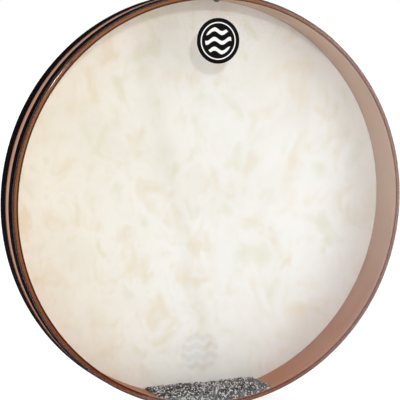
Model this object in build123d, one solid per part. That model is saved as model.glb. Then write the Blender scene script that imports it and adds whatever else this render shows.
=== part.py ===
from build123d import *
import math
import os

# A 22 inch sea drum, 2 3/8 inch deep, held upright. Millimetres.
# Y is the drum's axis: the clear film head faces -Y and the goat-skin head faces +Y. +Z is up.
# The origin is the middle of the drum.

DRUM_R = 279.4
DRUM_DEPTH = 60.3

SKIN_T = 0.8
FILM_T = 0.35
TAPE_T = 0.5

WOOD_R = DRUM_R - SKIN_T - TAPE_T
WOOD_T = 7.5
WOOD_REAR_Y = DRUM_DEPTH / 2 - SKIN_T
WOOD_FRONT_Y = -(DRUM_DEPTH / 2 - FILM_T)
INNER_R = WOOD_R - WOOD_T
OUTER_ROUND = 2.5
INNER_ROUND = 1.0
# A thin layer's bend over the hoop's edge is a smooth curve through this many equal steps of arc.
BEND_STEPS = 16

SKIN_EDGE_END_Y = 8.0
FILM_EDGE_END_Y = -13.0
REAR_TAPE_END_Y = 5.1
REAR_TAPE_BEND = 60
FRONT_TAPE_START_Y = -25.0
FRONT_TAPE_END_Y = -11.0

BADGE_R = 30.25
BADGE_T = 0.25
BADGE_CENTRE_R = 216.0
BADGE_ANGLE = 88.6

TACK_COUNT = 40
TACK_Y = 19.0
TACK_HEAD_R = 3.0
TACK_HEAD_T = 0.4
TACK_SINK = 0.05
TACK_SHANK_R = 0.6
TACK_LENGTH = 6.5

# The filling hole is near the top of the hoop, in the bare band between the two tapes.
FILL_ANGLE = 87.0
FILL_Y = -3.0
EYELET_BORE_R = 3.3
EYELET_TUBE_R = 3.7
EYELET_HEAD_R = 6.5
EYELET_HEAD_T = 0.8
EYELET_SEAT_DEPTH = 0.2
EYELET_ROLL_R = 4.4
EYELET_ROLL_T = 0.6
WASHER_R = 4.75
WASHER_T = 0.8
WASHER_GAP = 0.05
PLUG_R = 3.25
PLUG_END = 1.3
PLUG_END_ROUND = 1.0
PLUG_HEAD_R = 5.0
PLUG_HEAD_T = 1.0
PLUG_HEAD_ROUND = 0.4

# The heap lies at the bottom of the hoop. Its top is a flat slope, a little higher on the right.
HEAP_SLOPE = 2.1
HEAP_LEVEL = 254.6
HEAP_CLEAR_R = 0.4
HEAP_CLEAR_Y = 0.45
HEAP_END_ROUND = 1.2
HEAP_CHANNEL_WIDTH = 2 * WASHER_R + 3.0
HEAP_CHANNEL_CLEAR = 0.7


def turned(profile):
    """A solid of revolution about the drum's axis, from a face in the XY plane: X is radius, Y is depth."""
    return revolve(profile, Axis.Y)


def ring(inner_r, outer_r, low_y, high_y):
    """A plain ring about the drum's axis."""
    centre = ((inner_r + outer_r) / 2, (low_y + high_y) / 2)
    return turned(Pos(*centre) * Rectangle(outer_r - inner_r, high_y - low_y))


def disc(radius, low_y, high_y):
    """A plain disc about the drum's axis."""
    return turned(Pos(radius / 2, (low_y + high_y) / 2) * Rectangle(radius, high_y - low_y))


def edge_layer(inner_offset, outer_offset, low_y, wood_y, bend):
    """A layer round the hoop's side and, by bend degrees, over its rounded edge at +Y.

    The offsets are the layer's two faces, measured out from the wood. The layer starts at low_y.
    """
    round_r = WOOD_R - OUTER_ROUND
    round_y = wood_y - OUTER_ROUND
    centre = Vector(round_r, round_y)
    low = OUTER_ROUND + inner_offset
    high = OUTER_ROUND + outer_offset

    def on_arc(radius, angle):
        turn = math.radians(angle)
        return centre + Vector(radius * math.cos(turn), radius * math.sin(turn))

    def bent(radius):
        points = [on_arc(radius, bend * i / BEND_STEPS) for i in range(BEND_STEPS + 1)]
        turn = math.radians(bend)
        return Spline(*points, tangents=[(0, 1), (-math.sin(turn), math.cos(turn))])

    side = Polyline(
        on_arc(low, 0),
        (WOOD_R + inner_offset, low_y),
        (WOOD_R + outer_offset, low_y),
        on_arc(high, 0),
    )
    end = Line(on_arc(high, bend), on_arc(low, bend))
    return turned(make_face([*side.edges(), bent(high), end, bent(low)]))


def front_to_back(solid):
    """The mirror image of a solid, with the drum's front and rear exchanged."""
    return mirror(solid, Plane.XZ)


def outward(angle, depth, radius):
    """A place on the hoop, with local +Z pointing out along the radius."""
    turn = math.radians(angle)
    direction = (math.cos(turn), 0, math.sin(turn))
    point = (radius * direction[0], depth, radius * direction[2])
    return Plane(origin=point, x_dir=(0, 1, 0), z_dir=direction).location


def post(radius, low, high):
    """A cylinder on local Z, from low to high."""
    return Pos(0, 0, (low + high) / 2) * Cylinder(radius, high - low)


def fill_place():
    """The filling hole's axis, with local Z measured as distance from the drum's axis."""
    return outward(FILL_ANGLE, FILL_Y, 0)


EYELET_SEAT = WOOD_R - EYELET_SEAT_DEPTH
WASHER_TOP = INNER_R - WASHER_GAP
WASHER_BOTTOM = WASHER_TOP - WASHER_T
ROLL_BOTTOM = WASHER_BOTTOM - EYELET_ROLL_T
PLUG_BOTTOM = ROLL_BOTTOM - PLUG_END


def make_shell():
    """The bent wood hoop, with its rounded bearing edges and the filling hole."""
    section = Pos((INNER_R + WOOD_R) / 2, (WOOD_FRONT_Y + WOOD_REAR_Y) / 2) * Rectangle(
        WOOD_T, WOOD_REAR_Y - WOOD_FRONT_Y
    )
    section = fillet(section.vertices().group_by(Axis.X)[0], INNER_ROUND)
    section = fillet(section.vertices().group_by(Axis.X)[-1], OUTER_ROUND)
    hole = post(EYELET_TUBE_R, INNER_R - WOOD_T, WOOD_R + WOOD_T)
    seat = post(EYELET_HEAD_R, EYELET_SEAT, WOOD_R + WOOD_T)
    return turned(section) - fill_place() * (hole + seat)


def make_tack():
    """One tack, with local Z as distance from the drum's axis."""
    head_top = WOOD_R + SKIN_T - TACK_SINK
    head = post(TACK_HEAD_R, head_top - TACK_HEAD_T, head_top)
    shank = post(TACK_SHANK_R, head_top - TACK_LENGTH, head_top - TACK_HEAD_T)
    return head + shank


def tack_places():
    """Each tack's axis, evenly spaced round the hoop."""
    return [outward(360 / TACK_COUNT * (i + 0.5), TACK_Y, 0) for i in range(TACK_COUNT)]


def make_rear_skin_edge():
    """The skin's turned-down edge, with a dimple and a hole for each tack."""
    edge = edge_layer(0, SKIN_T, SKIN_EDGE_END_Y, WOOD_REAR_Y, 90)
    head_bottom = WOOD_R + SKIN_T - TACK_SINK - TACK_HEAD_T
    dimple = post(TACK_HEAD_R, head_bottom, WOOD_R + SKIN_T + 1)
    hole = post(TACK_SHANK_R, WOOD_R - 1, head_bottom)
    cutter = dimple + hole
    return edge - [place * cutter for place in tack_places()]


def make_front_badge():
    """The round badge that is stuck on the film near the top."""
    turn = math.radians(BADGE_ANGLE)
    centre = (
        BADGE_CENTRE_R * math.cos(turn),
        -DRUM_DEPTH / 2 - BADGE_T / 2,
        BADGE_CENTRE_R * math.sin(turn),
    )
    return Pos(*centre) * Rot(90, 0, 0) * Cylinder(BADGE_R, BADGE_T)


def make_eyelet():
    """The steel eyelet: a head outside, a tube through the wood, and a rolled end over the washer."""
    head = post(EYELET_HEAD_R, EYELET_SEAT, EYELET_SEAT + EYELET_HEAD_T)
    tube = post(EYELET_TUBE_R, ROLL_BOTTOM, EYELET_SEAT)
    roll = post(EYELET_ROLL_R, ROLL_BOTTOM, WASHER_BOTTOM)
    bore = post(EYELET_BORE_R, ROLL_BOTTOM - 1, WOOD_R + 2)
    return fill_place() * (head + tube + roll - bore)


def make_eyelet_washer():
    """The flat washer on the hoop's inner face, under the eyelet's rolled end."""
    washer = post(WASHER_R, WASHER_BOTTOM, WASHER_TOP) - post(EYELET_TUBE_R, WASHER_BOTTOM, WASHER_TOP)
    return fill_place() * washer


def make_fill_plug():
    """The rubber plug. Its head lies on the eyelet's head and its end stands out inside the hoop."""
    head_bottom = EYELET_SEAT + EYELET_HEAD_T
    body = post(PLUG_R, PLUG_BOTTOM, head_bottom)
    body = fillet(body.edges().group_by(Axis.Z)[0], PLUG_END_ROUND)
    head = post(PLUG_HEAD_R, head_bottom, head_bottom + PLUG_HEAD_T)
    head = fillet(head.edges().group_by(Axis.Z)[-1], PLUG_HEAD_ROUND)
    return fill_place() * (body + head)


def make_heap():
    """The heap of loose balls as one solid, clear of the hoop, both heads and the filling hole's fittings."""
    outer_r = INNER_R - HEAP_CLEAR_R
    low_y = WOOD_FRONT_Y + HEAP_CLEAR_Y
    high_y = WOOD_REAR_Y - HEAP_CLEAR_Y
    half_angle = math.acos(HEAP_LEVEL / outer_r)
    half_width = outer_r * math.sin(half_angle)
    arc = ThreePointArc((-half_width, -HEAP_LEVEL), (0, -outer_r), (half_width, -HEAP_LEVEL))
    top = Line((half_width, -HEAP_LEVEL), (-half_width, -HEAP_LEVEL))
    outline = make_face([arc, top])
    outline = fillet(outline.vertices(), HEAP_END_ROUND)
    # The outline is drawn in XY and stood up in XZ, then pushed from low_y to high_y.
    heap = Pos(0, high_y, 0) * Rot(90, 0, 0) * extrude(outline, high_y - low_y)
    channel_floor = PLUG_BOTTOM - HEAP_CHANNEL_CLEAR
    half_channel = HEAP_CHANNEL_WIDTH / 2
    channel = ring(channel_floor, INNER_R, FILL_Y - half_channel, FILL_Y + half_channel)
    return Rot(0, -HEAP_SLOPE, 0) * heap - channel


membrane_r = WOOD_R - OUTER_ROUND
half_depth = DRUM_DEPTH / 2
front_edge_y = -WOOD_FRONT_Y

parts = {
    "shell": make_shell(),
    "rear_skin": disc(membrane_r, WOOD_REAR_Y, half_depth),
    "rear_skin_edge": make_rear_skin_edge(),
    "skin_tacks": Compound(children=[place * make_tack() for place in tack_places()]),
    "rear_trim_tape": edge_layer(
        SKIN_T, SKIN_T + TAPE_T, REAR_TAPE_END_Y, WOOD_REAR_Y, REAR_TAPE_BEND
    ),
    "front_film": disc(membrane_r, -half_depth, WOOD_FRONT_Y),
    "front_film_edge": front_to_back(edge_layer(0, FILM_T, -FILM_EDGE_END_Y, front_edge_y, 90)),
    "front_trim_tape": ring(
        WOOD_R + FILM_T, WOOD_R + FILM_T + TAPE_T, FRONT_TAPE_START_Y, FRONT_TAPE_END_Y
    ),
    "front_badge": make_front_badge(),
    "eyelet": make_eyelet(),
    "eyelet_washer": make_eyelet_washer(),
    "fill_plug": make_fill_plug(),
    "steel_balls": make_heap(),
}

os.makedirs("parts", exist_ok=True)
for name, solid in parts.items():
    solid.label = name
    export_step(solid, f"parts/{name}.step")
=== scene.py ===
import math

import bmesh
import bpy
import numpy as np
from mathutils import Matrix, Vector, kdtree, noise


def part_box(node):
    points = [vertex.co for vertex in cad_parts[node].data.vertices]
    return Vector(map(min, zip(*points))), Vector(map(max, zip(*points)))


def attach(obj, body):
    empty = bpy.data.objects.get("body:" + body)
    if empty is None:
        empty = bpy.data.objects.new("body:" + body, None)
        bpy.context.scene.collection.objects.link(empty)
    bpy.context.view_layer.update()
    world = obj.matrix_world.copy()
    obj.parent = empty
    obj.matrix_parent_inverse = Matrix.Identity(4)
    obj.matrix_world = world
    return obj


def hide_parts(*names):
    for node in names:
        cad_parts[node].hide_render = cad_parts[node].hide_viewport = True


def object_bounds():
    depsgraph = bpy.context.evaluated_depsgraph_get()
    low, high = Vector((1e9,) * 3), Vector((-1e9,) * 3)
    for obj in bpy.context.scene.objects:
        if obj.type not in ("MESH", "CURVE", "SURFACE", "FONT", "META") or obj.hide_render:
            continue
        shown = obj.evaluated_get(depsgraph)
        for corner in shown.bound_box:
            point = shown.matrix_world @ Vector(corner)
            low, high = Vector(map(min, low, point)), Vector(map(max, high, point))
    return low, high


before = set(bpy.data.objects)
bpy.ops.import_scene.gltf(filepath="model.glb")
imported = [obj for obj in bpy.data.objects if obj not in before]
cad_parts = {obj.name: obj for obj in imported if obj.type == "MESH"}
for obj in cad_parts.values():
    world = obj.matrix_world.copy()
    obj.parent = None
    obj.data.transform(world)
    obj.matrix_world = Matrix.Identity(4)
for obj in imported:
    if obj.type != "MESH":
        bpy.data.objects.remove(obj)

# A sea drum held upright. Metres, in the CAD frame: Y is the drum's axis, the film head faces -Y.
cad_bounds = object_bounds()
MM = 0.001
AROUND = 1440
TAU = 2 * math.pi


def radii(node):
    """The least and most distance of a CAD node's vertices from the drum's axis."""
    found = [math.hypot(v.co.x, v.co.z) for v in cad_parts[node].data.vertices]
    return min(found), max(found)


# ---- Sizes, from the frame ----

WOOD_IN, WOOD_OUT = radii("shell")
WOOD_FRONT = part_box("shell")[0].y
WOOD_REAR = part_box("shell")[1].y
SKIN_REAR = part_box("rear_skin")[1].y
FILM_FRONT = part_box("front_film")[0].y
SKIN_T = SKIN_REAR - WOOD_REAR
FILM_T = WOOD_FRONT - FILM_FRONT
SKIN_EDGE_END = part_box("rear_skin_edge")[0].y
FILM_EDGE_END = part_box("front_film_edge")[1].y
REAR_TAPE = radii("rear_trim_tape")[1]
FRONT_TAPE = radii("front_trim_tape")[1]
REAR_TAPE_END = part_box("rear_trim_tape")[0].y
FRONT_TAPE_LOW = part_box("front_trim_tape")[0].y
FRONT_TAPE_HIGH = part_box("front_trim_tape")[1].y
ROUND_R = WOOD_OUT - radii("front_film")[1]
INNER_ROUND = 1.0 * MM
# How far the heads' flat parts wave out of true, at most.
SKIN_WAVE = 0.0005
FILM_WAVE = 0.0003
HEAP_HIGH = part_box("steel_balls")[1]


# ---- The camera ----

CAMERA_AZIMUTH = math.radians(-21.11)
CAMERA_ELEVATION = math.radians(6.125)
CAMERA_ROLL = math.radians(0.25)
CAMERA_DISTANCE = 2.3
CAMERA_TARGET = Vector((-0.01914, -0.02395, 0.00446))
LENS = 155.034


def make_camera():
    """A long lens a little above the drum's middle and to its left."""
    back = Vector((
        math.sin(CAMERA_AZIMUTH) * math.cos(CAMERA_ELEVATION),
        -math.cos(CAMERA_AZIMUTH) * math.cos(CAMERA_ELEVATION),
        math.sin(CAMERA_ELEVATION),
    ))
    right = (-back).cross(Vector((0, 0, 1))).normalized()
    up = right.cross(-back)
    turn = Matrix((right, up, back)).transposed()
    data = bpy.data.cameras.new("camera")
    data.lens = LENS
    data.sensor_width = 36
    camera = bpy.data.objects.new("camera", data)
    bpy.context.scene.collection.objects.link(camera)
    camera.matrix_world = (
        Matrix.Translation(CAMERA_TARGET + CAMERA_DISTANCE * back)
        @ turn.to_4x4()
        @ Matrix.Rotation(-CAMERA_ROLL, 4, "Z")
    )
    bpy.context.scene.camera = camera


# ---- Material helpers ----


def linear(value):
    """A 0-255 display value as linear light."""
    return value / 255 / 12.92 if value <= 10 else ((value / 255 + 0.055) / 1.055) ** 2.4


def srgb(red, green, blue):
    """A linear colour from 0-255 display values."""
    return linear(red), linear(green), linear(blue), 1


class Graph:
    """A material's node tree, with short calls for the nodes used here."""

    def __init__(self, name):
        self.material = bpy.data.materials.new(name)
        self.material.use_nodes = True
        self.tree = self.material.node_tree
        self.tree.nodes.clear()

    def add(self, kind, inputs, **settings):
        node = self.tree.nodes.new(kind)
        for key, value in settings.items():
            setattr(node, key, value)
        for key, value in inputs.items():
            self.plug(node.inputs[key], value)
        return node

    def plug(self, socket, value):
        if isinstance(value, bpy.types.NodeSocket):
            self.tree.links.new(value, socket)
        else:
            socket.default_value = value

    def place(self):
        return self.add("ShaderNodeTexCoord", {}).outputs["Object"]

    def uv(self):
        return self.add("ShaderNodeUVMap", {}, uv_map="wrap").outputs["UV"]

    def stretch(self, vector, scale):
        return self.add("ShaderNodeMapping", {"Vector": vector, "Scale": scale}).outputs["Vector"]

    def noise(self, vector, scale, detail=3.0, roughness=0.5, distortion=0.0):
        inputs = {"Vector": vector, "Scale": scale}
        inputs.update({"Detail": detail, "Roughness": roughness, "Distortion": distortion})
        return self.add("ShaderNodeTexNoise", inputs).outputs["Fac"]

    def cells(self, vector, scale):
        return self.add("ShaderNodeTexVoronoi", {"Vector": vector, "Scale": scale}).outputs["Distance"]

    def math(self, operation, a, b=0.0, clamp=False):
        return self.add("ShaderNodeMath", {0: a, 1: b}, operation=operation, use_clamp=clamp).outputs[0]

    def between(self, value, low, high, to_low=0.0, to_high=1.0):
        inputs = {"Value": value, "From Min": low, "From Max": high, "To Min": to_low, "To Max": to_high}
        return self.add("ShaderNodeMapRange", inputs, interpolation_type="SMOOTHSTEP").outputs[0]

    def mix(self, factor, a, b, blend="MIX"):
        node = self.add("ShaderNodeMix", {}, data_type="RGBA", blend_type=blend)
        for index, value in ((0, factor), (6, a), (7, b)):
            self.plug(node.inputs[index], value)
        return node.outputs[2]

    def ramp(self, value, stops):
        node = self.add("ShaderNodeValToRGB", {"Fac": value})
        while len(node.color_ramp.elements) < len(stops):
            node.color_ramp.elements.new(1.0)
        for element, (position, colour) in zip(node.color_ramp.elements, stops):
            element.position = position
            element.color = colour
        return node.outputs["Color"]

    def bump(self, height, distance, strength):
        inputs = {"Height": height, "Distance": distance, "Strength": strength}
        return self.add("ShaderNodeBump", inputs).outputs["Normal"]

    def split(self, vector):
        node = self.add("ShaderNodeSeparateXYZ", {"Vector": vector})
        return node.outputs[0], node.outputs[1], node.outputs[2]

    def radius(self, vector):
        """The distance from the drum's axis."""
        x, _, z = self.split(vector)
        return self.length(x, z)

    def length(self, a, b):
        return self.math("SQRT", self.math("ADD", self.math("MULTIPLY", a, a), self.math("MULTIPLY", b, b)))

    def finish(self, shader):
        self.add("ShaderNodeOutputMaterial", {"Surface": shader})
        return self.material

    def principled(self, **inputs):
        named = {key.replace("_", " "): value for key, value in inputs.items()}
        return self.add("ShaderNodeBsdfPrincipled", named).outputs[0]


# ---- Materials ----

# The hoop's edge shows its plies, with dark glue lines between them, and turns dark over the outer bends: colour
# stops, in millimetres out from the inner face.
PLY_STOPS = (
    (0.0, srgb(58, 23, 3)),
    (2.2, srgb(68, 28, 5)),
    (2.45, srgb(28, 12, 4)),
    (2.6, srgb(146, 84, 36)),
    (4.8, srgb(154, 90, 40)),
    (4.95, srgb(32, 14, 5)),
    (5.2, srgb(88, 38, 10)),
    (6.6, srgb(94, 42, 12)),
    (7.0, srgb(48, 22, 8)),
)


def wood_material():
    """Bent hardwood: tan inside, stained outside, with the plies showing on the bearing edges."""
    g = Graph("bent_wood")
    place = g.place()
    wrap = g.uv()
    radius = g.radius(place)
    depth = g.math("MULTIPLY", g.math("SUBTRACT", radius, WOOD_IN), 1 / (WOOD_OUT - WOOD_IN))
    plies = g.ramp(depth, [(stop * MM / (WOOD_OUT - WOOD_IN), colour) for stop, colour in PLY_STOPS])
    streaks = g.noise(g.stretch(wrap, (9.0, 420.0, 1.0)), 1.0, 5.0, 0.62, 0.4)
    pores = g.noise(g.stretch(wrap, (45.0, 2600.0, 1.0)), 1.0, 2.0, 0.5)
    clouds = g.noise(g.stretch(wrap, (4.0, 22.0, 1.0)), 1.0, 2.0)
    inside = g.ramp(streaks, [
        (0.25, srgb(173, 134, 102)),
        (0.5, srgb(194, 153, 119)),
        (0.8, srgb(209, 169, 136)),
    ])
    outside = g.ramp(streaks, [
        (0.25, srgb(198, 136, 108)),
        (0.5, srgb(220, 160, 132)),
        (0.8, srgb(232, 176, 148)),
    ])
    inner_face = g.between(radius, WOOD_IN + 0.2 * MM, WOOD_IN + 0.7 * MM)
    outer_face = g.between(radius, WOOD_OUT - 0.12 * MM, WOOD_OUT - 0.04 * MM)
    colour = g.mix(inner_face, inside, plies)
    side_band = g.between(g.split(place)[1], FRONT_TAPE_LOW + 0.2 * MM, FRONT_TAPE_LOW + 0.5 * MM)
    colour = g.mix(g.math("MULTIPLY", outer_face, side_band), colour, outside)
    colour = g.mix(g.between(clouds, 0.35, 0.7, 0.0, 0.22), colour, srgb(120, 64, 34), "MULTIPLY")
    # Painted shade: the wood is darker and more orange towards the bottom, standing in for the lower wall getting
    # less light.
    low = g.between(g.split(place)[2], 0.03, -0.2, 0.0, 1.0)
    colour = g.mix(low, colour, srgb(226, 176, 124), "MULTIPLY")
    colour = g.mix(g.between(pores, 0.56, 0.7, 0.0, 0.35), colour, srgb(78, 44, 26))
    height = g.math("ADD", g.math("MULTIPLY", streaks, 0.6), g.math("MULTIPLY", pores, 0.4))
    shader = g.principled(
        Base_Color=colour,
        Roughness=g.between(streaks, 0.2, 0.8, 0.44, 0.32),
        Normal=g.bump(height, 0.00012, 0.6),
        Specular_IOR_Level=0.06,
    )
    return g.finish(shader)


PRINT_CENTRE = Vector((0.0, 0.0, -0.212))
PRINT_R = 0.0285
# Wavy lines: their pitch, width, swing and wavelength.
PRINT_WAVES = (0.0135, 0.0052, 0.0022, 0.021)
BADGE_WAVES = (0.0128, 0.0052, 0.0026, 0.0225)
# The badge's field of waves and its ring, as shares of its radius.
BADGE_FIELD = 0.62
BADGE_RING = 0.80


def wave_lines(g, across, up, pitch, width, swing, length):
    """Where a stack of wavy lines is drawn: 1 on a line and 0 between lines."""
    lift = g.math("MULTIPLY", g.math("SINE", g.math("MULTIPLY", across, TAU / length)), swing)
    level = g.math("ADD", up, lift)
    step = g.math("PINGPONG", level, pitch / 2)
    return g.between(step, width / 2 - 0.0002, width / 2 + 0.0002, 1.0, 0.0)


def skin_material():
    """Goat rawhide: cream, faintly mottled, with pores, a spine line, and a soft print near the bottom."""
    g = Graph("goat_skin")
    place = g.place()
    x, y, z = g.split(place)
    broad = g.noise(place, 9.0, 4.0, 0.6, 0.4)
    hue = g.noise(g.stretch(place, (1.0, 1.0, 0.8)), 24.0, 4.0, 0.62, 0.5)
    fine = g.noise(place, 160.0, 4.0, 0.6)
    pores = g.cells(place, 900.0)
    colour = g.ramp(broad, [
        (0.3, srgb(243, 240, 231)),
        (0.5, srgb(249, 247, 242)),
        (0.7, srgb(252, 251, 248)),
    ])
    colour = g.mix(g.between(hue, 0.5, 0.7, 0.0, 0.7), colour, srgb(240, 229, 206))
    colour = g.mix(g.between(hue, 0.48, 0.28, 0.0, 0.7), colour, srgb(232, 232, 208))
    # Painted tint: the skin is yellower towards the left, standing in for the film's reflected light being weaker
    # on that side.
    colour = g.mix(g.between(x, 0.05, -0.24, 0.0, 1.0), colour, srgb(255, 252, 243), "MULTIPLY")
    colour = g.mix(g.between(fine, 0.58, 0.8, 0.0, 0.22), colour, srgb(222, 214, 190))
    colour = g.mix(g.between(pores, 0.25, 0.0, 0.0, 0.10), colour, srgb(170, 150, 122))
    spine = g.math("ABSOLUTE", g.math("ADD", g.math("ADD", x, g.math("MULTIPLY", z, 0.22)), 0.035))
    colour = g.mix(g.between(spine, 0.022, 0.0, 0.0, 0.12), colour, srgb(206, 190, 160))
    above_print = g.math("SUBTRACT", z, PRINT_CENTRE.z)
    from_print = g.length(g.math("SUBTRACT", x, PRINT_CENTRE.x), above_print)
    stamp = g.between(from_print, PRINT_R, PRINT_R - 0.0015)
    waves = wave_lines(g, x, above_print, *PRINT_WAVES)
    inked = g.math("MULTIPLY", stamp, g.math("SUBTRACT", 1.0, g.math("MULTIPLY", waves, 0.75)))
    behind = g.between(y, WOOD_REAR + 0.2 * SKIN_T, WOOD_REAR + 0.8 * SKIN_T)
    ink = g.math("MULTIPLY", inked, g.between(behind, 0.0, 1.0, 0.105, 0.86))
    colour = g.mix(ink, colour, srgb(112, 104, 96))
    height = g.math("ADD", g.math("MULTIPLY", fine, 0.7), g.math("MULTIPLY", pores, -0.5))
    skin = g.principled(
        Base_Color=colour,
        Roughness=g.between(broad, 0.3, 0.7, 0.62, 0.5),
        Normal=g.bump(height, 0.0001, 0.14),
        Specular_IOR_Level=0.35,
    )
    through = g.add("ShaderNodeBsdfTranslucent", {"Color": g.mix(0.5, colour, srgb(252, 240, 216))}).outputs[0]
    shader = g.add("ShaderNodeMixShader", {0: 0.16, 1: skin, 2: through}).outputs[0]
    return g.finish(shader)


def film_material():
    """Clear polyester film: almost invisible but for its gloss and a slight milky haze."""
    g = Graph("clear_film")
    place = g.place()
    radius = g.radius(place)
    glued = g.between(radius, WOOD_OUT - 1.8 * MM, WOOD_OUT - 0.8 * MM, 1.0, 0.2)
    haze = g.noise(place, 7.0, 3.0, 0.55)
    dust = g.noise(place, 420.0, 2.0, 0.5)
    clear = g.add("ShaderNodeBsdfTransparent", {"Color": (0.975, 0.975, 0.97, 1)}).outputs[0]
    milk = g.add("ShaderNodeBsdfDiffuse", {"Color": (0.92, 0.92, 0.94, 1)}).outputs[0]
    amount = g.math("ADD", g.between(haze, 0.3, 0.7, 0.003, 0.009), g.between(dust, 0.64, 0.8, 0.0, 0.02))
    body = g.add("ShaderNodeMixShader", {0: amount, 1: clear, 2: milk}).outputs[0]
    ripple = g.bump(g.noise(place, 14.0, 2.0, 0.5), 0.004, 0.10)
    gloss = g.add("ShaderNodeBsdfGlossy", {"Roughness": 0.11, "Normal": ripple, "Color": (1, 1, 1, 1)}).outputs[0]
    # Schlick's reflectance, the same from both sides, so that the film's back faces don't turn into mirrors.
    facing = g.add("ShaderNodeLayerWeight", {"Blend": 0.5}).outputs["Facing"]
    schlick = g.math("ADD", g.math("MULTIPLY", g.math("POWER", facing, 5.0), 0.96), 0.04)
    fresnel = g.math("MULTIPLY", schlick, glued)
    return g.finish(g.add("ShaderNodeMixShader", {0: fresnel, 1: body, 2: gloss}).outputs[0])


THREAD = 0.0009


def tape_material():
    """Black woven cloth tape: a plain weave, with a slight sheen painted as lighter colour on the threads that
    stand up.
    """
    g = Graph("trim_tape")
    wrap = g.uv()
    u, v, _ = g.split(wrap)
    along = g.math("SINE", g.math("MULTIPLY", u, TAU / THREAD))
    across = g.math("SINE", g.math("MULTIPLY", v, TAU / THREAD))
    weave = g.math("MULTIPLY", along, across)
    slub = g.noise(g.stretch(wrap, (900.0, 500.0, 1.0)), 1.0, 3.0, 0.6)
    wear = g.noise(g.stretch(wrap, (30.0, 60.0, 1.0)), 1.0, 3.0, 0.6)
    lift = g.math("ADD", g.math("MULTIPLY", weave, 0.35), slub)
    # Painted sheen: the raised threads are coloured lighter and bluer.
    colour = g.ramp(lift, [(0.15, srgb(2, 1, 3)), (0.6, srgb(6, 5, 9)), (0.95, srgb(20, 21, 28))])
    colour = g.mix(g.between(wear, 0.55, 0.75, 0.0, 0.3), colour, srgb(20, 18, 24))
    shader = g.principled(
        Base_Color=colour,
        Roughness=g.between(slub, 0.3, 0.7, 0.55, 0.75),
        Normal=g.bump(lift, 0.00018, 0.9),
        Specular_IOR_Level=0.004,
    )
    return g.finish(shader)


def badge_material(centre, radius):
    """A printed black vinyl disc with a pale ring and three pale waves."""
    g = Graph("badge_vinyl")
    place = g.place()
    x, _, z = g.split(place)
    right = g.math("SUBTRACT", x, centre.x)
    up = g.math("SUBTRACT", z, centre.z)
    out = g.length(right, up)
    waves = wave_lines(g, right, up, *BADGE_WAVES)
    field = g.between(out, BADGE_FIELD * radius, BADGE_FIELD * radius - 0.0003)
    ring = g.between(g.math("ABSOLUTE", g.math("SUBTRACT", out, BADGE_RING * radius)), 0.0009, 0.0006)
    pale = g.math("ADD", g.math("MULTIPLY", waves, field), ring, clamp=True)
    scuff = g.noise(place, 260.0, 4.0, 0.6)
    black = g.mix(scuff, srgb(2, 2, 3), srgb(10, 9, 11))
    white = g.mix(scuff, srgb(216, 211, 203), srgb(236, 232, 225))
    colour = g.mix(pale, black, white)
    shader = g.principled(
        Base_Color=colour,
        Roughness=g.between(scuff, 0.3, 0.7, 0.34, 0.5),
        Normal=g.bump(g.math("ADD", scuff, pale), 0.00004, 0.5),
        Specular_IOR_Level=0.05,
    )
    return g.finish(shader)


def steel_material(name, dark, light, rough):
    """Bare steel with a faint oxide bloom and fine scratches."""
    g = Graph(name)
    place = g.place()
    bloom = g.noise(place, 320.0, 3.0, 0.6)
    grit = g.noise(place, 2400.0, 2.0, 0.5)
    colour = g.mix(g.between(bloom, 0.35, 0.65), srgb(*dark), srgb(*light))
    shader = g.principled(
        Base_Color=colour,
        Metallic=1.0,
        Roughness=g.between(bloom, 0.3, 0.7, rough, rough + 0.14),
        Normal=g.bump(grit, 0.00003, 0.4),
    )
    return g.finish(shader)


def ball_material():
    """Small steel balls with a faint oxide bloom. Each ball gets its own shade at random: the near-white ones are
    painted glints and the near-black ones painted shade between the balls.
    """
    g = Graph("ball_steel")
    place = g.place()
    each = g.add("ShaderNodeNewGeometry", {}).outputs["Random Per Island"]
    bloom = g.noise(place, 900.0, 3.0, 0.6)
    # Painted glints and shade: near-white and near-black balls, picked at random per ball.
    colour = g.ramp(each, [
        (0.0, srgb(4, 3, 3)),
        (0.36, srgb(20, 18, 17)),
        (0.48, srgb(130, 124, 118)),
        (0.56, srgb(244, 240, 236)),
        (1.0, srgb(254, 252, 250)),
    ])
    colour = g.mix(g.between(bloom, 0.4, 0.7, 0.0, 0.4), colour, srgb(92, 84, 80), "MULTIPLY")
    # Painted shade: darker clumps across the heap.
    shade_clumps = g.noise(place, 300.0, 1.0, 0.5)
    colour = g.mix(g.between(shade_clumps, 0.45, 0.55, 0.0, 0.85), colour, srgb(44, 40, 38), "MULTIPLY")
    shader = g.principled(
        Base_Color=colour,
        Metallic=0.5,
        Roughness=g.between(bloom, 0.3, 0.7, 0.16, 0.34),
        Normal=g.bump(bloom, 0.00002, 0.3),
    )
    return g.finish(shader)


def rubber_material():
    """Black moulded rubber, a little dusty."""
    g = Graph("plug_rubber")
    place = g.place()
    dust = g.noise(place, 700.0, 4.0, 0.6)
    colour = g.mix(g.between(dust, 0.5, 0.75), srgb(24, 21, 21), srgb(58, 52, 50))
    shader = g.principled(
        Base_Color=colour,
        Roughness=g.between(dust, 0.3, 0.7, 0.55, 0.8),
        Normal=g.bump(dust, 0.00006, 0.6),
    )
    return g.finish(shader)


# ---- Meshes ----


def link(name, vertices, faces, uvs=None):
    mesh = bpy.data.meshes.new(name)
    mesh.from_pydata(vertices, [], faces)
    if uvs is not None:
        layer = mesh.uv_layers.new(name="wrap")
        layer.data.foreach_set("uv", np.asarray(uvs, np.float32).ravel())
    mesh.validate()
    mesh.shade_smooth()
    obj = bpy.data.objects.new(name, mesh)
    bpy.context.scene.collection.objects.link(obj)
    return obj


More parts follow.
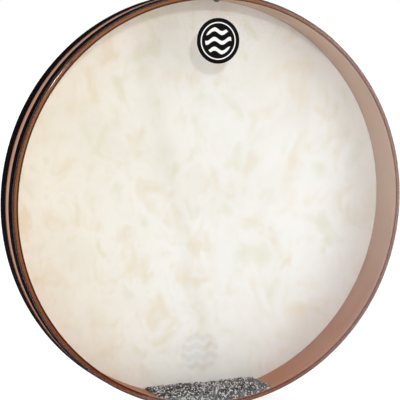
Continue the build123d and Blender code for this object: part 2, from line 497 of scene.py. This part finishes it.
def lathe(name, outline, shift=None, start=0.0, around=AROUND):
    """A closed solid of revolution about Y, from a closed outline of (radius, y) points.

    shift(angle, radius, y) moves a point outward and along Y. The UV map holds metres: round the drum,
    then along the outline. start is the angle where the wrap begins. A point on the axis makes a pole.
    """
    steps = [0.0]
    for (r0, y0), (r1, y1) in zip(outline, outline[1:] + outline[:1]):
        steps.append(steps[-1] + math.hypot(r1 - r0, y1 - y0))
    vertices, columns = [], []
    on_axis = [r < 1e-9 for r, _ in outline]
    poles = {}
    for j, (r, y) in enumerate(outline):
        if on_axis[j]:
            poles[j] = len(vertices)
            vertices.append((0.0, y, 0.0))
    for i in range(around):
        angle = start + TAU * i / around
        column = []
        for j, (r, y) in enumerate(outline):
            if on_axis[j]:
                column.append(poles[j])
                continue
            out, along = shift(angle, r, y) if shift else (0.0, 0.0)
            column.append(len(vertices))
            vertices.append(((r + out) * math.cos(angle), y + along, (r + out) * math.sin(angle)))
        columns.append(column)
    faces, uvs = [], []
    for i in range(around):
        here, there = columns[i], columns[(i + 1) % around]
        u0 = TAU * i / around * WOOD_OUT
        u1 = TAU * (i + 1) / around * WOOD_OUT
        for j in range(len(outline)):
            k = (j + 1) % len(outline)
            corners = [(here[j], u0, steps[j]), (here[k], u0, steps[j + 1]),
                       (there[k], u1, steps[j + 1]), (there[j], u1, steps[j])]
            if on_axis[j] and on_axis[k]:
                continue
            if on_axis[j]:
                corners.pop(3)
            if on_axis[k]:
                corners.pop(2)
            faces.append([c[0] for c in corners])
            uvs += [(c[1], c[2]) for c in corners]
    return link(name, vertices, faces, uvs)


def arc(centre, radius, first, last, count):
    """Points on an arc in the (radius, y) plane, from angle first to last in degrees."""
    found = []
    for i in range(count + 1):
        turn = math.radians(first + (last - first) * i / count)
        found.append((centre[0] + radius * math.cos(turn), centre[1] + radius * math.sin(turn)))
    return found


def run(first, last, count):
    """Points on a straight run, without its two ends."""
    return [
        (first[0] + (last[0] - first[0]) * i / count, first[1] + (last[1] - first[1]) * i / count)
        for i in range(1, count)
    ]


def wander(seed, angle, waves, size):
    """A smooth random value that repeats once round the drum."""
    spot = Vector((math.cos(angle) * waves, math.sin(angle) * waves, seed))
    return size * noise.noise(spot)


TOOL_MARK = 0.00002


def make_shell():
    """The hoop, with rounded bearing edges and tool marks too slight to see but for their gloss."""
    rear = (WOOD_OUT - ROUND_R, WOOD_REAR - ROUND_R)
    front = (WOOD_OUT - ROUND_R, WOOD_FRONT + ROUND_R)
    inner_rear = (WOOD_IN + INNER_ROUND, WOOD_REAR - INNER_ROUND)
    inner_front = (WOOD_IN + INNER_ROUND, WOOD_FRONT + INNER_ROUND)
    outline = []
    for corner in (
        arc(rear, ROUND_R, 0, 90, 8),
        arc(inner_rear, INNER_ROUND, 90, 180, 5),
        arc(inner_front, INNER_ROUND, 180, 270, 5),
        arc(front, ROUND_R, 270, 360, 8),
    ):
        if outline:
            outline += run(outline[-1], corner[0], 6)
        outline += corner
    outline += run(outline[-1], outline[0], 6)
    outline.reverse()

    def shift(angle, r, y):
        # The heads and tapes touch the wood, so it only ever moves inward.
        return -TOOL_MARK + wander(r * 900 + y * 40, angle, 9, TOOL_MARK), 0.0

    return lathe("wood_hoop", outline, shift, start=math.radians(62))


def head_outline(thickness, wood_y, edge_y, rings):
    """The closed outline of a head: the flat part, the bend over the hoop's edge, and the turned-down edge.

    The head is drawn at the rear, so wood_y is positive, and edge_y is where its turned-down edge ends.
    """
    centre = (WOOD_OUT - ROUND_R, wood_y - ROUND_R)
    outer = [(0.0, wood_y + thickness)]
    outer += run((0.0, wood_y + thickness), (centre[0], wood_y + thickness), rings)
    outer += arc(centre, ROUND_R + thickness, 90, 0, 8)
    outer += run(outer[-1], (WOOD_OUT + thickness, edge_y), 6)
    outer += [(WOOD_OUT + thickness, edge_y), (WOOD_OUT, edge_y)]
    outer += run((WOOD_OUT, edge_y), (WOOD_OUT, centre[1]), 6)
    outer += arc(centre, ROUND_R, 0, 90, 8)
    outer += run((centre[0], wood_y), (0.0, wood_y), rings)
    outer += [(0.0, wood_y)]
    return outer


def make_skin():
    """The goat-skin head. Its flat part waves very slightly, as drawn rawhide does."""
    def shift(angle, r, y):
        if y < WOOD_REAR - 0.01 * MM:
            return 0.0, 0.0
        slack = min(1.0, max(0.0, (WOOD_IN - r) / 0.03))
        spot = Vector((r * math.cos(angle), r * math.sin(angle), 3.0)) * 11
        return 0.0, -abs(noise.noise(spot)) * SKIN_WAVE * slack

    return lathe("goat_skin_head", head_outline(SKIN_T, WOOD_REAR, SKIN_EDGE_END, 44), shift, around=720)


def make_film():
    """The clear film head."""
    outline = [(r, -y) for r, y in head_outline(FILM_T, -WOOD_FRONT, -FILM_EDGE_END, 30)]
    outline.reverse()

    def shift(angle, r, y):
        if y > WOOD_FRONT + 0.01 * MM:
            return 0.0, 0.0
        slack = min(1.0, max(0.0, (WOOD_IN - r) / 0.05))
        spot = Vector((r * math.cos(angle), r * math.sin(angle), 7.0)) * 6
        return 0.0, abs(noise.noise(spot)) * FILM_WAVE * slack

    return lathe("film_head", outline, shift, around=720)


TACK_COUNT = 40
TACK_Y = sum(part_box("skin_tacks")[i].y for i in (0, 1)) / 2
TACK_BUMP = 0.0001


def frayed(seed, angle):
    """How far a tape's cut edge wanders."""
    return wander(seed, angle, 60, 0.00025) + wander(seed + 5, angle, 4, 0.0005)


def make_rear_tape():
    """The wide tape over the skin's edge, raised very slightly over each hidden tack."""
    centre = (WOOD_OUT - ROUND_R, WOOD_REAR - ROUND_R)
    low = ROUND_R + SKIN_T + 0.01 * MM
    high = REAR_TAPE - centre[0]
    outer = arc(centre, high, 62, 0, 10)
    outer += run(outer[-1], (REAR_TAPE, REAR_TAPE_END), 26)
    outer += [(REAR_TAPE, REAR_TAPE_END), (centre[0] + low, REAR_TAPE_END)]
    outer += run(outer[-1], (centre[0] + low, centre[1]), 6)
    outer += arc(centre, low, 0, 62, 10)

    def shift(angle, r, y):
        edge = frayed(1.0, angle) if y < REAR_TAPE_END + 0.01 * MM else 0.0
        out = 0.0
        if r > REAR_TAPE - 0.01 * MM and y < centre[1]:
            step = TAU / TACK_COUNT
            off = ((angle / step - 0.5) - round(angle / step - 0.5)) * step * r
            near = math.hypot(off, y - TACK_Y)
            out = TACK_BUMP * max(0.0, 1 - (near / 0.0045) ** 2)
            out += wander(y * 300, angle, 30, 0.00004)
        return out, edge

    return lathe("rear_tape", outer, shift, start=math.radians(-78))


def make_front_tape():
    """The narrow tape over the film's edge."""
    low = WOOD_OUT + FILM_T + 0.01 * MM
    outer = [(FRONT_TAPE, FRONT_TAPE_LOW)]
    outer += [(low, FRONT_TAPE_LOW)]
    outer += run((low, FRONT_TAPE_LOW), (low, FRONT_TAPE_HIGH), 6)
    outer += [(low, FRONT_TAPE_HIGH), (FRONT_TAPE, FRONT_TAPE_HIGH)]
    outer += run((FRONT_TAPE, FRONT_TAPE_HIGH), (FRONT_TAPE, FRONT_TAPE_LOW), 16)

    def shift(angle, r, y):
        edge = 0.0
        if y < FRONT_TAPE_LOW + 0.01 * MM:
            edge = frayed(2.0, angle)
        elif y > FRONT_TAPE_HIGH - 0.01 * MM:
            edge = frayed(3.0, angle)
        out = wander(y * 300, angle, 30, 0.00004) if r > FRONT_TAPE - 0.01 * MM else 0.0
        return out, edge

    return lathe("front_tape", outer, shift, start=math.radians(-71))


def make_badge():
    """The round vinyl badge, with a rounded cut edge, lying on the film."""
    low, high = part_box("front_badge")
    centre = (low + high) / 2
    radius = (high.x - low.x) / 2
    thick = high.y - low.y
    edge = 0.6 * thick
    outline = [(0.0, -thick / 2)] + run((0.0, -thick / 2), (radius - edge, -thick / 2), 12)
    outline += arc((radius - edge, -thick / 2 + edge), edge, 270, 360, 6)
    outline += [(radius, thick / 2)] + run((radius, thick / 2), (0.0, thick / 2), 12) + [(0.0, thick / 2)]
    badge = lathe("round_badge", outline, around=180)
    badge.data.transform(Matrix.Translation(centre))
    badge.data.update()
    badge.data.materials.append(badge_material(centre, radius))
    return badge


# ---- The heap of balls ----

BALL_R = 0.0012
BALL_FILL = 0.68
BALL_PIECES = 4
HEAP_SEED = 11
SETTLE_STEPS = 360
CALM_STEPS = 60
LIST_STEPS = 8
LIST_REACH = 2.5
PUSH_SHARE = 0.42
FALL = 0.00004
GAP = 0.00008
HEAP_BUMP = 0.0004
HEAP_TILT = math.radians(0.9)
# The heap's ends are blunt: where they start, and how far on they have dropped to nothing.
LEFT_END = -0.076
RIGHT_END = 0.074
END_RUN = 0.009
END_DROP = 0.0065
CHANNEL_CLEAR = 0.0007


def near_pairs(points, reach):
    """Index pairs of the points that are within reach of each other."""
    tree = kdtree.KDTree(len(points))
    for i, point in enumerate(points):
        tree.insert(point, i)
    tree.balance()
    first, second = [], []
    for i, point in enumerate(points):
        for _, j, _ in tree.find_range(point, reach):
            if j > i:
                first.append(i)
                second.append(j)
    return np.array(first), np.array(second)


def settle_balls():
    """Ball centres, packed at random between the two heads on the hoop's inner face, under a sloping top."""
    slope = HEAP_TILT
    # The heap's top reaches the CAD heap's highest corner.
    level = HEAP_HIGH.z * math.cos(slope) - HEAP_HIGH.x * math.sin(slope)
    down = np.array([math.sin(slope), 0.0, -math.cos(slope)])
    outer = WOOD_IN - BALL_R - GAP
    low_y = WOOD_FRONT + BALL_R + GAP
    high_y = WOOD_REAR - BALL_R - GAP - SKIN_WAVE
    washer_low, washer_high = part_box("eyelet_washer")
    fill_y = (washer_low.y + washer_high.y) / 2
    channel_half = (washer_high.y - washer_low.y) / 2 + CHANNEL_CLEAR + BALL_R
    channel_r = radii("fill_plug")[0] - CHANNEL_CLEAR - BALL_R

    half = math.sqrt(outer ** 2 - level ** 2)
    turn = 2 * math.asin(half / outer)
    area = outer ** 2 * (turn - math.sin(turn)) / 2
    count = int(area * (high_y - low_y) * BALL_FILL / (4 / 3 * math.pi * BALL_R ** 3))
    rng = np.random.default_rng(HEAP_SEED)
    across = half * rng.uniform(-1, 1, 4 * count)
    lift = rng.uniform(-outer, level, 4 * count)
    keep = (np.hypot(across, lift) < outer)
    across, lift = across[keep][:count], lift[keep][:count]
    x = across * math.cos(slope) - lift * math.sin(slope)
    z = across * math.sin(slope) + lift * math.cos(slope)
    points = np.column_stack([x, rng.uniform(low_y, high_y, len(x)), z])
    for step in range(SETTLE_STEPS):
        if step % LIST_STEPS == 0:
            first, second = near_pairs(points, LIST_REACH * BALL_R)
        apart = points[second] - points[first]
        distance = np.maximum(np.linalg.norm(apart, axis=1), 1e-7)
        overlap = np.maximum(2 * BALL_R - distance, 0.0)
        push = apart * (PUSH_SHARE * overlap / distance)[:, None]
        for axis in range(3):
            points[:, axis] += np.bincount(second, push[:, axis], len(points))
            points[:, axis] -= np.bincount(first, push[:, axis], len(points))
        points += down * (FALL * (1 - step / SETTLE_STEPS) if step < SETTLE_STEPS - CALM_STEPS else 0.0)
        points[:, 1] = np.clip(points[:, 1], low_y, high_y)
        off = points[:, 1] - fill_y
        radius = np.hypot(points[:, 0], points[:, 2])
        in_channel = (np.abs(off) < channel_half) & (radius > channel_r)
        sideways = channel_half - np.abs(off) < radius - channel_r
        move = in_channel & sideways
        points[move, 1] = fill_y + np.sign(off[move]) * channel_half
        limit = np.where(in_channel & ~sideways, channel_r, outer)
        shrink = np.minimum(1.0, limit / radius)
        points[:, 0] *= shrink
        points[:, 2] *= shrink
    height = points @ -down
    beyond = np.maximum(points[:, 0] - RIGHT_END, LEFT_END - points[:, 0]).clip(min=0.0)
    top = level + HEAP_BUMP - BALL_R - END_DROP * (beyond / END_RUN) ** 2
    return points[height < top]


def make_balls():
    """The loose balls, as a few pieces of separate small spheres."""
    ball = bmesh.new()
    bmesh.ops.create_icosphere(ball, subdivisions=2, radius=BALL_R)
    corners = np.array([v.co[:] for v in ball.verts])
    faces = np.array([[v.index for v in f.verts] for f in ball.faces])
    ball.free()
    pieces = []
    for k, part in enumerate(np.array_split(settle_balls(), BALL_PIECES)):
        vertices = (part[:, None, :] + corners[None]).reshape(-1, 3)
        triangles = (faces[None] + len(corners) * np.arange(len(part))[:, None, None]).reshape(-1, 3)
        pieces.append(link(f"loose_balls_{k + 1}", vertices.tolist(), triangles.tolist()))
    return pieces


# ---- Stage ----


FLOOR_NEAR = -0.12
FLOOR_FAR = 30.0
FLOOR_GLOW = 0.75


def make_stage():
    """A plain pale floor that glows a little, so that the drum's shadow on it stays faint."""
    floor_z = cad_bounds[0][2] - 0.0005
    g = Graph("pale_floor")
    place = g.place()
    speck = g.noise(place, 3.0, 3.0, 0.5)
    base = g.principled(Base_Color=g.mix(speck, srgb(176, 176, 176), srgb(186, 186, 186)), Roughness=0.8)
    glow = g.add("ShaderNodeEmission", {"Color": (1, 1, 1, 1), "Strength": FLOOR_GLOW}).outputs[0]
    material = g.finish(g.add("ShaderNodeAddShader", {0: base, 1: glow}).outputs[0])
    # The floor starts just in front of the drum, so that the film doesn't mirror it.
    corners = ((-FLOOR_FAR, FLOOR_NEAR), (FLOOR_FAR, FLOOR_NEAR), (FLOOR_FAR, FLOOR_FAR), (-FLOOR_FAR, FLOOR_FAR))
    floor = link("floor", [(x, y, floor_z) for x, y in corners], [(0, 1, 2, 3)])
    floor.data.materials.append(material)


def compass(azimuth, elevation):
    """A direction, in degrees. Azimuth 0 is straight in front of the film, and grows to the right."""
    turn, lift = math.radians(azimuth), math.radians(elevation)
    return Vector((math.sin(turn) * math.cos(lift), -math.cos(turn) * math.cos(lift), math.sin(lift)))


# The world's light, as cones: azimuth, elevation, the half angles where each starts and is full, and its
# value outside and inside. The room is dimmer behind the drum. The dark flag keeps the room's reflection
# off the film, the left flag shades the skin's right side, and a large soft light stands to the right.
ROOM = (180, 0, 100, 50, 0.92, 0.62)
DARK_FLAG = (20, -6, 21, 13, 1.0, 0.03)
LEFT_FLAG = (-65, 5, 50, 28, 1.0, 0.6)
SOFTBOX = (55, -4, 36, 24, 0.0, 2.5)
DAYLIGHT = (0.98, 1.0, 1.04, 1)

KEY_AZIMUTH = -11
KEY_ELEVATION = 18.5
KEY_DISTANCE = 3.0
KEY_SIZE = 0.15
KEY_POWER = 20


def make_world():
    """A plain room of soft light. The camera itself sees plain white."""
    world = bpy.data.worlds.new("studio")
    bpy.context.scene.world = world
    world.use_nodes = True
    tree = world.node_tree
    tree.nodes.clear()

    def add(kind, **settings):
        node = tree.nodes.new(kind)
        for key, value in settings.items():
            setattr(node, key, value)
        return node

    def cone(azimuth, elevation, wide, narrow, outside, inside):
        """One value outside a cone about a direction and another inside it, with a smooth edge."""
        dot = add("ShaderNodeVectorMath", operation="DOT_PRODUCT")
        tree.links.new(place.outputs["Generated"], dot.inputs[0])
        dot.inputs[1].default_value = compass(azimuth, elevation)
        grade = add("ShaderNodeMapRange", interpolation_type="SMOOTHSTEP")
        tree.links.new(dot.outputs["Value"], grade.inputs["Value"])
        limits = (math.cos(math.radians(wide)), math.cos(math.radians(narrow)), outside, inside)
        for key, value in zip(("From Min", "From Max", "To Min", "To Max"), limits):
            grade.inputs[key].default_value = value
        return grade.outputs[0]

    def combine(operation, first, second):
        node = add("ShaderNodeMath", operation=operation)
        tree.links.new(first, node.inputs[0])
        tree.links.new(second, node.inputs[1])
        return node.outputs[0]

    place = add("ShaderNodeTexCoord")
    light = combine("MULTIPLY", cone(*ROOM), cone(*DARK_FLAG))
    light = combine("MULTIPLY", light, cone(*LEFT_FLAG))
    light = combine("ADD", light, cone(*SOFTBOX))
    path = add("ShaderNodeLightPath")
    seen = add("ShaderNodeMix", data_type="FLOAT")
    tree.links.new(path.outputs["Is Camera Ray"], seen.inputs[0])
    tree.links.new(light, seen.inputs[2])
    seen.inputs[3].default_value = 1.0
    tint = add("ShaderNodeMix", data_type="RGBA")
    tree.links.new(path.outputs["Is Camera Ray"], tint.inputs[0])
    tint.inputs[6].default_value = DAYLIGHT
    tint.inputs[7].default_value = (1, 1, 1, 1)
    shade = add("ShaderNodeBackground")
    tree.links.new(tint.outputs[2], shade.inputs["Color"])
    tree.links.new(seen.outputs[0], shade.inputs["Strength"])
    out = add("ShaderNodeOutputWorld")
    tree.links.new(shade.outputs[0], out.inputs[0])


def make_key_light():
    """A small area light in front, above and to the left, facing the drum's middle."""
    place = KEY_DISTANCE * compass(KEY_AZIMUTH, KEY_ELEVATION)
    data = bpy.data.lights.new("key", "AREA")
    data.shape = "RECTANGLE"
    data.size = KEY_SIZE
    data.size_y = KEY_SIZE
    data.energy = KEY_POWER
    lamp = bpy.data.objects.new("key", data)
    bpy.context.scene.collection.objects.link(lamp)
    lamp.location = place
    lamp.rotation_euler = (-place).to_track_quat("-Z", "Y").to_euler()


def put(piece, body, slot, material, *nodes):
    if material:
        piece.data.materials.append(material)
    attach(piece, body)
    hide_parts(*nodes)


def dress(node, material):
    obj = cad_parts[node]
    obj.data.materials.clear()
    obj.data.materials.append(material)


make_camera()
make_stage()
make_world()
make_key_light()
tape = tape_material()
put(make_shell(), "drum", "bent_wood", wood_material(), "shell")
put(make_skin(), "drum", "goat_skin", skin_material(), "rear_skin", "rear_skin_edge")
put(make_film(), "drum", "clear_film", film_material(), "front_film", "front_film_edge")
put(make_rear_tape(), "drum", "trim_tape", tape, "rear_trim_tape")
put(make_front_tape(), "drum", "trim_tape", tape, "front_trim_tape")
put(make_badge(), "drum", "badge_vinyl", None, "front_badge")
dress("eyelet", steel_material("eyelet_steel", (92, 80, 82), (128, 114, 118), 0.38))
dress("eyelet_washer", steel_material("washer_steel", (76, 66, 66), (104, 92, 92), 0.42))
dress("skin_tacks", steel_material("tack_steel", (150, 148, 146), (186, 184, 180), 0.3))
dress("fill_plug", rubber_material())
ball_steel = ball_material()
for piece in make_balls():
    put(piece, "ball_charge", "ball_steel", ball_steel, "steel_balls")
bpy.context.scene.view_settings.view_transform = "Standard"
